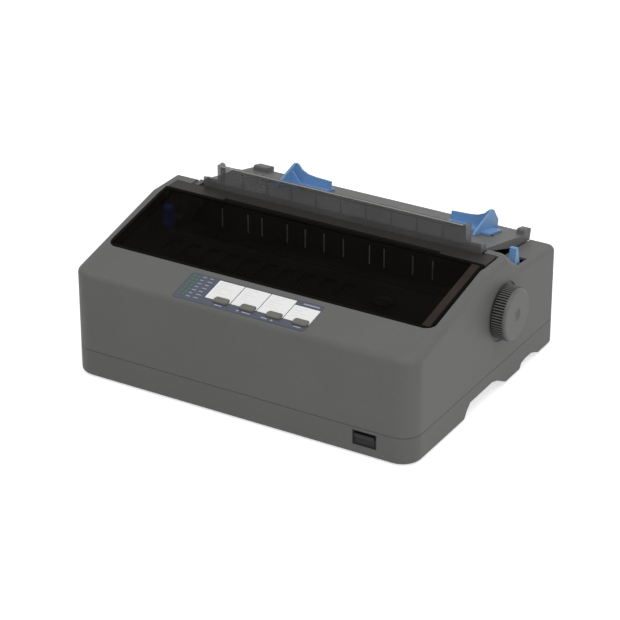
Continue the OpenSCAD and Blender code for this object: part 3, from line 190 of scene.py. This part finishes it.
def metal(name, colour, rough, stretch=(1, 1, 1)):
    """Rolled or turned metal with a faint directional grain."""
    t = Tree(name)
    v = t.coords(stretch)
    lines = t.noise(v, GRAIN_SCALE, 4, 0.6)
    blotch = t.noise(t.coords(), BLOTCH_SCALE, 3)
    colours = t.ramp(blotch, [(0.3, scaled(colour, 0.9)), (0.7, scaled(colour, 1.06))])
    t.link(colours, t.bsdf.inputs["Base Color"])
    t.link(t.span(lines, rough - 0.08, rough + 0.10), t.bsdf.inputs["Roughness"])
    t.bsdf.inputs["Metallic"].default_value = 1.0
    t.bump(lines, 0.06, 0.0003, 0.2)
    return t.mat


def see_through(name, colour, alpha, rough, spec, streak):
    """Clear or smoked moulding: colour from its body, faint flow marks in its gloss."""
    t = Tree(name)
    v = t.coords((1, 3, 1))
    flow = t.noise(v, FLOW_SCALE, 3)
    colours = t.ramp(flow, [(0.3, scaled(colour, 0.85)), (0.7, scaled(colour, 1.15))])
    t.link(colours, t.bsdf.inputs["Base Color"])
    t.link(t.span(flow, rough, rough + 0.05), t.bsdf.inputs["Roughness"])
    t.bsdf.inputs["Alpha"].default_value = alpha
    t.bsdf.inputs["Specular IOR Level"].default_value = spec
    t.bump(flow, streak, 0.0002, 0.3)
    return t.mat


def board(name):
    """Green circuit board with copper tracks under the mask."""
    t = Tree(name)
    v = t.coords()
    brick = t.add("ShaderNodeTexBrick", Scale=TRACK_SCALE)
    brick.inputs["Color1"].default_value = rgb(24, 74, 40)
    brick.inputs["Color2"].default_value = rgb(28, 84, 46)
    brick.inputs["Mortar"].default_value = rgb(60, 120, 66)
    brick.inputs["Mortar Size"].default_value = 0.012
    t.link(v, brick.inputs["Vector"])
    t.link(brick.outputs["Color"], t.bsdf.inputs["Base Color"])
    fine = t.noise(v, MASK_SCALE, 2)
    t.link(t.span(fine, 0.28, 0.4), t.bsdf.inputs["Roughness"])
    t.bump(fine, 0.05, 0.0003, 0.2)
    return t.mat


M = {
    "case": moulded("case_grey", rgb(103, 103, 102), spec=0.3),
    "case_dark": moulded("case_grey_lower", rgb(101, 101, 100), spec=0.3),
    "sheet": moulded("sheet_guide_grey", rgb(103, 103, 102), spec=0.3),
    "knob": moulded("knob_grey", rgb(104, 104, 103), rough=0.5, spec=0.3),
    # painted shade in the slots of the case's floor
    "screen": moulded("vent_painted_shade", rgb(20, 20, 20), rough=0.9, grain=0.3, edge_mm=0, spec=0.05),
    # painted shade for the bottoms of the knob's grooves
    "groove": moulded("groove_dark", rgb(12, 12, 12), rough=0.7, grain=0.02, edge_mm=0, spec=0.1),
    "smoke": see_through("smoke_window", rgb(22, 20, 18), 0.52, rough=0.05, spec=0.0, streak=0.0),
    # painted light: the lit ledge seen through the window's right side
    "ledge": see_through("ledge_brown", rgb(60, 52, 49), 0.86, rough=0.3, spec=0.02, streak=0.0),
    "band": moulded("cover_band_black", rgb(11, 10, 9), rough=0.4, grain=0.03, spec=0.02),
    "strip": moulded("cover_strip_brown", rgb(48, 46, 44), rough=0.5, spec=0.15),
    "clear": see_through("clear_grey", rgb(104, 104, 104), 0.66, rough=0.22, spec=0.3, streak=0.04),
    "blue": moulded("blue_plastic", rgb(114, 158, 207), rough=0.45, grain=0.08),
    "deep_blue": moulded("deep_blue_plastic", rgb(78, 100, 205), rough=0.45, grain=0.08),
    "panel": moulded("panel_slate", rgb(74, 81, 95), rough=0.38, grain=0.05),
    "button": moulded("button_grey", rgb(110, 108, 100), rough=0.5),
    "card": moulded("card_white", rgb(255, 255, 254), rough=0.5, grain=0.02, edge_mm=0, wear=0.1),
    "card_ink": moulded("card_line_grey", rgb(232, 232, 235), rough=0.5, grain=0.02, edge_mm=0),
    "legend": moulded("legend_lilac", rgb(168, 176, 200), rough=0.5, grain=0.02, edge_mm=0),
    "led": moulded("green_lens", rgb(50, 128, 62), rough=0.2, grain=0.02, spec=0.6),
    "black": moulded("black_plastic", rgb(26, 26, 26), rough=0.5, grain=0.03, spec=0.25),
    "ribbon_case": moulded("ribbon_case_black", rgb(54, 49, 46), rough=0.6, grain=0.02, spec=0.02),
    # painted highlights: the paper ribs' front edges and the upright plate's top edge
    "rib_edge": moulded("rib_highlight_grey", rgb(228, 226, 219), rough=0.4, grain=0.02, edge_mm=0),
    "plate_edge": moulded("plate_highlight_grey", rgb(214, 212, 208), rough=0.3, grain=0.02, edge_mm=0),
    "ink": moulded("ink_ribbon", rgb(16, 16, 20), rough=0.8, grain=0.3, grain_scale=3000),
    "guide": moulded("paper_guide_black", rgb(44, 43, 41), rough=0.5, grain=0.02, spec=0.05),
    "rubber": moulded("rubber", rgb(26, 26, 26), rough=0.75, grain=0.2),
    "ivory": moulded("ivory_plastic", rgb(222, 217, 202), rough=0.4, grain=0.05),
    "sheet_steel": metal("zinc_steel", rgb(190, 192, 194), 0.34, (1, 1, 8)),
    "shaft": metal("ground_steel", rgb(205, 206, 208), 0.18, (12, 1, 1)),
    "brass": metal("brass", rgb(196, 158, 82), 0.28),
    "motor": metal("motor_black", rgb(58, 58, 60), 0.42),
    "head": metal("head_anodised", rgb(64, 64, 66), 0.4),
    "board": board("circuit_board"),
}

# the CAD nodes that take each finish
FINISH = {
    "case": ["upper_case"],
    "case_dark": ["lower_case"],
    "sheet": ["sheet_guide"],
    "knob": ["feed_knob"],
    "smoke": ["cover_window"],
    "clear": ["cover_upright"],
    "blue": ["edge_guide_left", "edge_guide_right", "release_lever"],
    "deep_blue": ["thickness_lever"],
    "panel": ["control_panel"],
    "button": ["button_1", "button_2", "button_3", "button_4"],
    "led": ["indicator_leds"],
    "black": ["switch_housing", "power_rocker", "ac_inlet", "tractor_left", "tractor_right",
              "tractor_flap_left", "tractor_flap_right", "ribbon_knob", "carriage", "timing_belt",
              "platen_gear"],
    "ribbon_case": ["ribbon_cartridge"],
    "ink": ["ink_ribbon"],
    "guide": ["paper_guide", "exit_guide"],
    "rubber": ["rubber_feet", "platen_roller"],
    "ivory": ["platen_bushes", "idler_gear", "tractor_gear", "sprocket_left",
              "sprocket_right", "motor_pulley", "belt_idler"],
    "sheet_steel": ["front_rail", "case_screws", "interface_ports"],
    "shaft": ["guide_shaft", "platen_shaft", "tractor_shaft", "tractor_rod"],
    "brass": ["feed_pinion"],
    # the side frames take the dark motor finish as painted shade over the inside seen through the window
    "motor": ["carriage_motor", "feed_motor", "left_side_frame", "right_side_frame"],
    "head": ["print_head"],
    "board": ["main_board", "panel_board", "power_supply"],
}


def finish_nodes():
    """Puts each CAD node's finish in place of its plain material."""
    for key, names in FINISH.items():
        for name in names:
            slots = nodes[name].data.materials
            for i in range(len(slots)):
                slots[i] = M[key]
            if not slots:
                slots.append(M[key])


finish_nodes()

# ---------- mesh tools ----------

CASE_FRONT_Y = -137.5
DECK_FRONT_Z = 102
DECK_TILT = math.radians(11.75)
# from the deck's own axes (u to the right, v up the slope, w out of it) to the printer's
DECK = Matrix.Translation((0, CASE_FRONT_Y, DECK_FRONT_Z)) @ Matrix.Rotation(DECK_TILT, 4, "X")
FLAT = Matrix.Identity(4)


def piece(name, verts, faces, key, body, slot, placed=FLAT, smooth=()):
    """A piece of the scene in millimetres, which rides a body; its slot argument is not used."""
    mesh = bpy.data.meshes.new(name)
    mesh.from_pydata([tuple((placed @ Vector(v)) * MM) for v in verts], [], faces)
    mesh.update()
    made = bmesh.new()
    made.from_mesh(mesh)
    bmesh.ops.recalc_face_normals(made, faces=made.faces)
    made.to_mesh(mesh)
    made.free()
    mesh.materials.append(M[key])
    for i in smooth:
        mesh.polygons[i].use_smooth = True
    obj = bpy.data.objects.new(name, mesh)
    bpy.context.scene.collection.objects.link(obj)
    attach(obj, body)


def prism(outline, w0, w1):
    """Verts and faces of an upright prism on an outline given anticlockwise."""
    n = len(outline)
    verts = [(u, v, w) for w in (w0, w1) for u, v in outline]
    faces = [tuple(reversed(range(n)))]
    for i in range(n):
        j = (i + 1) % n
        faces.append((i, j, n + j, n + i))
    faces.append(tuple(range(n, 2 * n)))
    return verts, faces


def rounded(x0, y0, x1, y1, r, steps):
    """Anticlockwise rectangle with round corners."""
    made = []
    left, right, front, rear = x0 + r, x1 - r, y0 + r, y1 - r
    for cx, cy, a0 in ((right, front, -90), (right, rear, 0), (left, rear, 90), (left, front, 180)):
        for k in range(steps + 1):
            a = math.radians(a0 + 90 * k / steps)
            made.append((cx + r * math.cos(a), cy + r * math.sin(a)))
    return made


def joined(parts):
    """Several meshes as one."""
    verts, faces = [], []
    for v, f in parts:
        n = len(verts)
        verts += list(v)
        faces += [tuple(i + n for i in face) for face in f]
    return verts, faces


INK_MM = 0.1


def box_mesh(x0, y0, x1, y1, w0=0.0, w1=INK_MM):
    """A box over a rectangle; unless told otherwise, as thick as a layer of ink."""
    return prism([(x0, y0), (x1, y0), (x1, y1), (x0, y1)], w0, w1)


def deck_v(y):
    """How far up the deck's slope a place in front or rear lies."""
    return (y - CASE_FRONT_Y) / math.cos(DECK_TILT)


# ---------- control panel print ----------

# the four cards, left to right: left and right edge, and rear edge; all start at the same front edge
CARD_FRONT_Y = -124.6
CARDS = ((-46, -20.4, -99.3), (-19.6, 6.2, -99.3), (7, 32.6, -99.3), (33.4, 59, -104.5))
CARD_CORNER_R = 0.4
CARD_W = (0.0, 0.08)                 # the cards' layer, from and to
CARD_LINE_W = (0.07, 0.12)           # the layer of the lines on them
CARD_LINE_MM = 20                    # a full line
CARD_LINE_SHARES = (0.62, 0.44, 0.70, 0.36, 0.55)
CARD_LINE_INDENT = 2.4
CARD_LINE_FIRST, CARD_LINE_PITCH = 2.6, 3.4     # from the card's rear edge, and from line to line
CARD_LINE_DOWN, CARD_LINE_UP = 0.45, 0.1        # a line's edges, before and behind its place
CARD_BARE_MM = 6                     # no lines on this much of the card's front

# the dashes beside the lamps: left edge and lengths of each column, from the front row to the rear
LAMP_DASHES = ((-63, (4.2, 3.4, 4.6, 3.8, 4.4, 3.2, 4.0)), (-55.5, (4.6, 5.2, 3.9, 4.9, 4.2, 5.0, 3.6)))
LAMP_FRONT_Y = -131
LAMP_FIRST, LAMP_PITCH, LAMP_DASH = 2.1, 4.75, 0.9

LEGEND_Y = -130.6                                         # middle of the legends before the buttons
LEGENDS = ((-32.5, 7.5), (-4.5, 8), (15, 6), (47.5, 7))   # left edge and length
LEGEND_HALF = 0.6
ARROW_DOWN = ((-10.4, 1.0), (-9.0, -1.2), (-7.6, 1.0))
ARROW_UP = ((24.2, -1.2), (27.0, -1.2), (25.6, 1.2))
HEADING = (40, -101.6, 56, -100.2)                        # the line behind the last card


def panel_print():
    """Printed cards, legend lines and arrow marks, as thin ink layers on the panel."""
    front = deck_v(CARD_FRONT_Y)
    cards, lines, legends = [], [], []
    for x0, x1, rear_y in CARDS:
        rear = deck_v(rear_y)
        cards.append(prism(rounded(x0, front, x1, rear, CARD_CORNER_R, 2), *CARD_W))
        start = x0 + CARD_LINE_INDENT
        for k, share in enumerate(CARD_LINE_SHARES):
            v = rear - CARD_LINE_FIRST - k * CARD_LINE_PITCH
            if v < front + CARD_BARE_MM:
                break
            end = start + share * CARD_LINE_MM
            lines.append(box_mesh(start, v - CARD_LINE_DOWN, end, v + CARD_LINE_UP, *CARD_LINE_W))
    for row, lengths in enumerate(zip(*(column for _, column in LAMP_DASHES))):
        v = deck_v(LAMP_FRONT_Y) + LAMP_FIRST + row * LAMP_PITCH
        for (x, _), length in zip(LAMP_DASHES, lengths):
            legends.append(box_mesh(x, v, x + length, v + LAMP_DASH))
    low = deck_v(LEGEND_Y)
    for x, length in LEGENDS:
        legends.append(box_mesh(x, low - LEGEND_HALF, x + length, low + LEGEND_HALF))
    x0, y0, x1, y1 = HEADING
    legends.append(box_mesh(x0, deck_v(y0), x1, deck_v(y1)))
    for arrow in (ARROW_DOWN, ARROW_UP):
        legends.append(prism([(x, low + v) for x, v in arrow], 0, INK_MM))
    piece("panel_cards", *joined(cards), "card", "printer_body", "panel_slate", DECK)
    piece("card_lines", *joined(lines), "card_ink", "printer_body", "panel_slate", DECK)
    piece("panel_legends", *joined(legends), "legend", "printer_body", "panel_slate", DECK)


panel_print()

# ---------- painted edge highlights ---

EXIT_RIBS = (-117, -89, -74, -47, -28, -8, 12, 39, 54, 83, 103)     # middles of the paper ribs
RIB_HALF = 0.65
RIB_Y = (15.3, 15.39)                # just before the ribs' fronts
RIB_Z = (99.2, 117.8)
PLATE_HALF = 126
PLATE_Y = (26.94, 26.99)             # just before the upright plate
PLATE_Z = (153.0, 153.9)


def painted_edge_highlights():
    """Painted highlights along the paper ribs' front edges and along the upright plate's top edge."""
    ribs = [box_mesh(x - RIB_HALF, RIB_Y[0], x + RIB_HALF, RIB_Y[1], *RIB_Z) for x in EXIT_RIBS]
    piece("exit_rib_highlights", *joined(ribs), "rib_edge", "printer_body", "black_plastic")
    edge = box_mesh(-PLATE_HALF, PLATE_Y[0], PLATE_HALF, PLATE_Y[1], *PLATE_Z)
    piece("upright_top_highlight", *edge, "plate_edge", "cover", "clear_grey")


painted_edge_highlights()

# ---------- painted shade in the floor's vents ---

SHADE_SHEET = (-104, 58, 104, 102)        # its outline, just past the slots
SHADE_SHEET_Z = (2.0, 2.3)


def vent_shade_sheet():
    """A dark sheet of painted shade half way up the slots in the case's floor, which stops the daylight
    below.
    """
    piece("floor_vent_shade", *box_mesh(*SHADE_SHEET, *SHADE_SHEET_Z), "screen", "printer_body", "case_grey")


vent_shade_sheet()

# ---------- knob grooves: painted shade ---

KNOB_X = (167.7, 177.9)              # the ribbed length
KNOB_YZ = (28.5, 79.0)               # its axis
GROOVE_R = 24.3                      # the ribs stand out of this ring of painted shade by 0.4
RING_STEPS = 120


def knob_grooves():
    """Painted shade in the bottoms of the knob's grooves, as one dark ring that the ribs stand out of."""
    y, z = KNOB_YZ
    n = RING_STEPS
    turns = [2 * math.pi * k / n for k in range(n)]
    verts = [(x, y + GROOVE_R * math.cos(a), z + GROOVE_R * math.sin(a)) for x in KNOB_X for a in turns]
    faces = [(k, (k + 1) % n, n + (k + 1) % n, n + k) for k in range(n)]
    faces += [tuple(reversed(range(n))), tuple(range(n, 2 * n))]
    piece("knob_grooves", verts, faces, "groove", "platen", "case_grey", smooth=range(n))


knob_grooves()

# ---------- smooth skins of the moulded case ----------

SHARP = math.radians(34.0)           # faces that meet at less are shaded as one
WELD_M = 2e-6


def weighted_normals(bm):
    """One normal per face corner: faces round a vertex that meet smoothly share one, weighted by area."""
    normals = {}
    for vert in bm.verts:
        left = list(vert.link_faces)     # a list, so that the sums come out the same each run
        while left:
            fan, queue = [], [left.pop()]
            while queue:
                face = queue.pop()
                fan.append(face)
                for edge in face.edges:
                    if vert not in edge.verts:
                        continue
                    for other in edge.link_faces:
                        if other in left and other.normal.angle(face.normal, 0.0) < SHARP:
                            left.remove(other)
                            queue.append(other)
            total = Vector((0, 0, 0))
            for face in fan:
                total += face.normal * face.calc_area()
            for face in fan:
                shared = total.normalized() if total.length > 0 else face.normal.copy()
                normals[(face.index, vert.index)] = shared
    return normals


def skin(node, body, key):
    """A smooth-shaded skin in place of a CAD node whose rounded edges are made of narrow flats."""
    bm = bmesh.new()
    bm.from_mesh(nodes[node].data)
    bmesh.ops.remove_doubles(bm, verts=bm.verts, dist=WELD_M)
    bm.normal_update()
    bm.verts.index_update()
    bm.faces.index_update()
    normals = weighted_normals(bm)
    mesh = bpy.data.meshes.new(node + "_skin")
    faces = [tuple(v.index for v in f.verts) for f in bm.faces]
    mesh.from_pydata([tuple(v.co) for v in bm.verts], [], faces)
    mesh.polygons.foreach_set("use_smooth", [True] * len(mesh.polygons))
    mesh.normals_split_custom_set([tuple(normals[(i, v)]) for i, f in enumerate(faces) for v in f])
    bm.free()
    mesh.materials.append(M[key])
    obj = bpy.data.objects.new(node + "_skin", mesh)
    bpy.context.scene.collection.objects.link(obj)
    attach(obj, body)
    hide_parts(node)


WINDOW = (-172.0, deck_v(-91), 158.5, deck_v(6))     # the window's outline on the deck
BAND_MM = 3.0                        # black band along its edges
PAINTED_LEDGE_MM = 7.5                       # the case's ledge, painted as a lighter brown band on the window's right side: painted light for the lit ledge seen through the smoke
STRIP_NEAR = 0.1                     # the strip behind the window starts this much before its rear edge
COVER_KEYS = ("smoke", "band", "strip", "ledge")


def cover_skin():
    """The cover's smoked window with its black band, a brown band of painted light on its right side for
    the ledge under it, and the strip behind it.
    """
    x0, v0, x1, v1 = WINDOW
    left, right, front, rear = x0 + BAND_MM, x1 - BAND_MM, v0 + BAND_MM, v1 - BAND_MM
    ledge = right - PAINTED_LEDGE_MM
    across, along = Vector((1, 0, 0)), Vector((0, 1, 0))
    into_deck = DECK.inverted() @ Matrix.Scale(1 / MM, 4)
    bm = bmesh.new()
    bm.from_mesh(nodes["cover_window"].data)
    for far, way in ((left, across), (right, across), (ledge, across), (front, along), (rear, along)):
        geom = list(bm.verts) + list(bm.edges) + list(bm.faces)
        where = (DECK @ (way * far)) * MM
        bmesh.ops.bisect_plane(bm, geom=geom, plane_co=where, plane_no=DECK.to_3x3() @ way)
    mesh = bpy.data.meshes.new("cover_skin")
    for key in COVER_KEYS:
        mesh.materials.append(M[key])
    for face in bm.faces:
        u, v, _ = into_deck @ face.calc_center_median()
        if v > v1 - STRIP_NEAR:
            key = "strip"
        elif not (left < u < right and front < v < rear):
            key = "band"
        else:
            key = "ledge" if u > ledge else "smoke"
        face.material_index = COVER_KEYS.index(key)
    bm.to_mesh(mesh)
    bm.free()
    obj = bpy.data.objects.new("cover_skin", mesh)
    bpy.context.scene.collection.objects.link(obj)
    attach(obj, "cover")
    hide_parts("cover_window")


cover_skin()
skin("upper_case", "printer_body", "case")
skin("lower_case", "printer_body", "case_dark")

# ---------- stage and light ----------

FLOOR_M = 6.0                        # from the middle to each side
FLOOR_GREY = 0.82
FLOOR_GLOW = 0.66                    # added for rays that carry the picture, to come to white
WORLD_ON_OBJECT = 0.37
WHITE = (1, 1, 1, 1)


def seen_rays(nt):
    """1 for rays that carry the picture: from the camera, off gloss and through glass."""
    path = nt.nodes.new("ShaderNodeLightPath")
    total = path.outputs["Is Camera Ray"]
    for name in ("Is Glossy Ray", "Is Transmission Ray"):
        top = nt.nodes.new("ShaderNodeMath")
        top.operation = "MAXIMUM"
        nt.links.new(total, top.inputs[0])
        nt.links.new(path.outputs[name], top.inputs[1])
        total = top.outputs[0]
    return total


def make_stage():
    """Plain white floor that keeps the object's shadow."""
    mesh = bpy.data.meshes.new("floor")
    corners = [(x * FLOOR_M, y * FLOOR_M, 0) for x, y in ((-1, -1), (1, -1), (1, 1), (-1, 1))]
    mesh.from_pydata(corners, [], [(0, 1, 2, 3)])
    floor = bpy.data.objects.new("floor", mesh)
    bpy.context.scene.collection.objects.link(floor)
    t = Tree("floor_white")
    t.bsdf.inputs["Base Color"].default_value = (FLOOR_GREY, FLOOR_GREY, FLOOR_GREY, 1)
    t.bsdf.inputs["Roughness"].default_value = 0.9
    emit = t.add("ShaderNodeEmission")
    emit.inputs["Color"].default_value = WHITE
    glow = t.add("ShaderNodeMath", operation="MULTIPLY")
    glow.inputs[1].default_value = FLOOR_GLOW
    t.link(seen_rays(t.nt), glow.inputs[0])
    t.link(glow.outputs[0], emit.inputs["Strength"])
    both = t.add("ShaderNodeAddShader")
    t.link(t.bsdf.outputs[0], both.inputs[0])
    t.link(emit.outputs[0], both.inputs[1])
    t.link(both.outputs[0], t.out.inputs["Surface"])
    mesh.materials.append(t.mat)


def make_world():
    """Even white surroundings, weaker on the object than to the camera."""
    world = bpy.data.worlds.new("studio")
    bpy.context.scene.world = world
    world.use_nodes = True
    nt = world.node_tree
    back = nt.nodes["Background"]
    back.inputs["Color"].default_value = WHITE
    span = nt.nodes.new("ShaderNodeMapRange")
    span.inputs["To Min"].default_value = WORLD_ON_OBJECT
    span.inputs["To Max"].default_value = 1.0
    nt.links.new(seen_rays(nt), span.inputs["Value"])
    nt.links.new(span.outputs["Result"], back.inputs["Strength"])


def area_lamp(name, place, aim, size, watts):
    """A soft square lamp."""
    data = bpy.data.lights.new(name, "AREA")
    data.shape = "SQUARE"
    data.size = size
    data.energy = watts
    lamp = bpy.data.objects.new(name, data)
    lamp.location = place
    lamp.rotation_euler = (Vector(aim) - Vector(place)).to_track_quat("-Z", "Y").to_euler()
    bpy.context.scene.collection.objects.link(lamp)


make_stage()
make_world()
area_lamp("key_light", (0.5, -0.75, 2.1), (0, 0, 0.05), 1.4, 20.5)
area_lamp("right_light", (1.0, -0.3, 0.45), (0, 0, 0.06), 0.6, 1.15)
area_lamp("back_light", (1.0, 2.0, 1.5), (0, 0, 0.1), 1.2, 3)
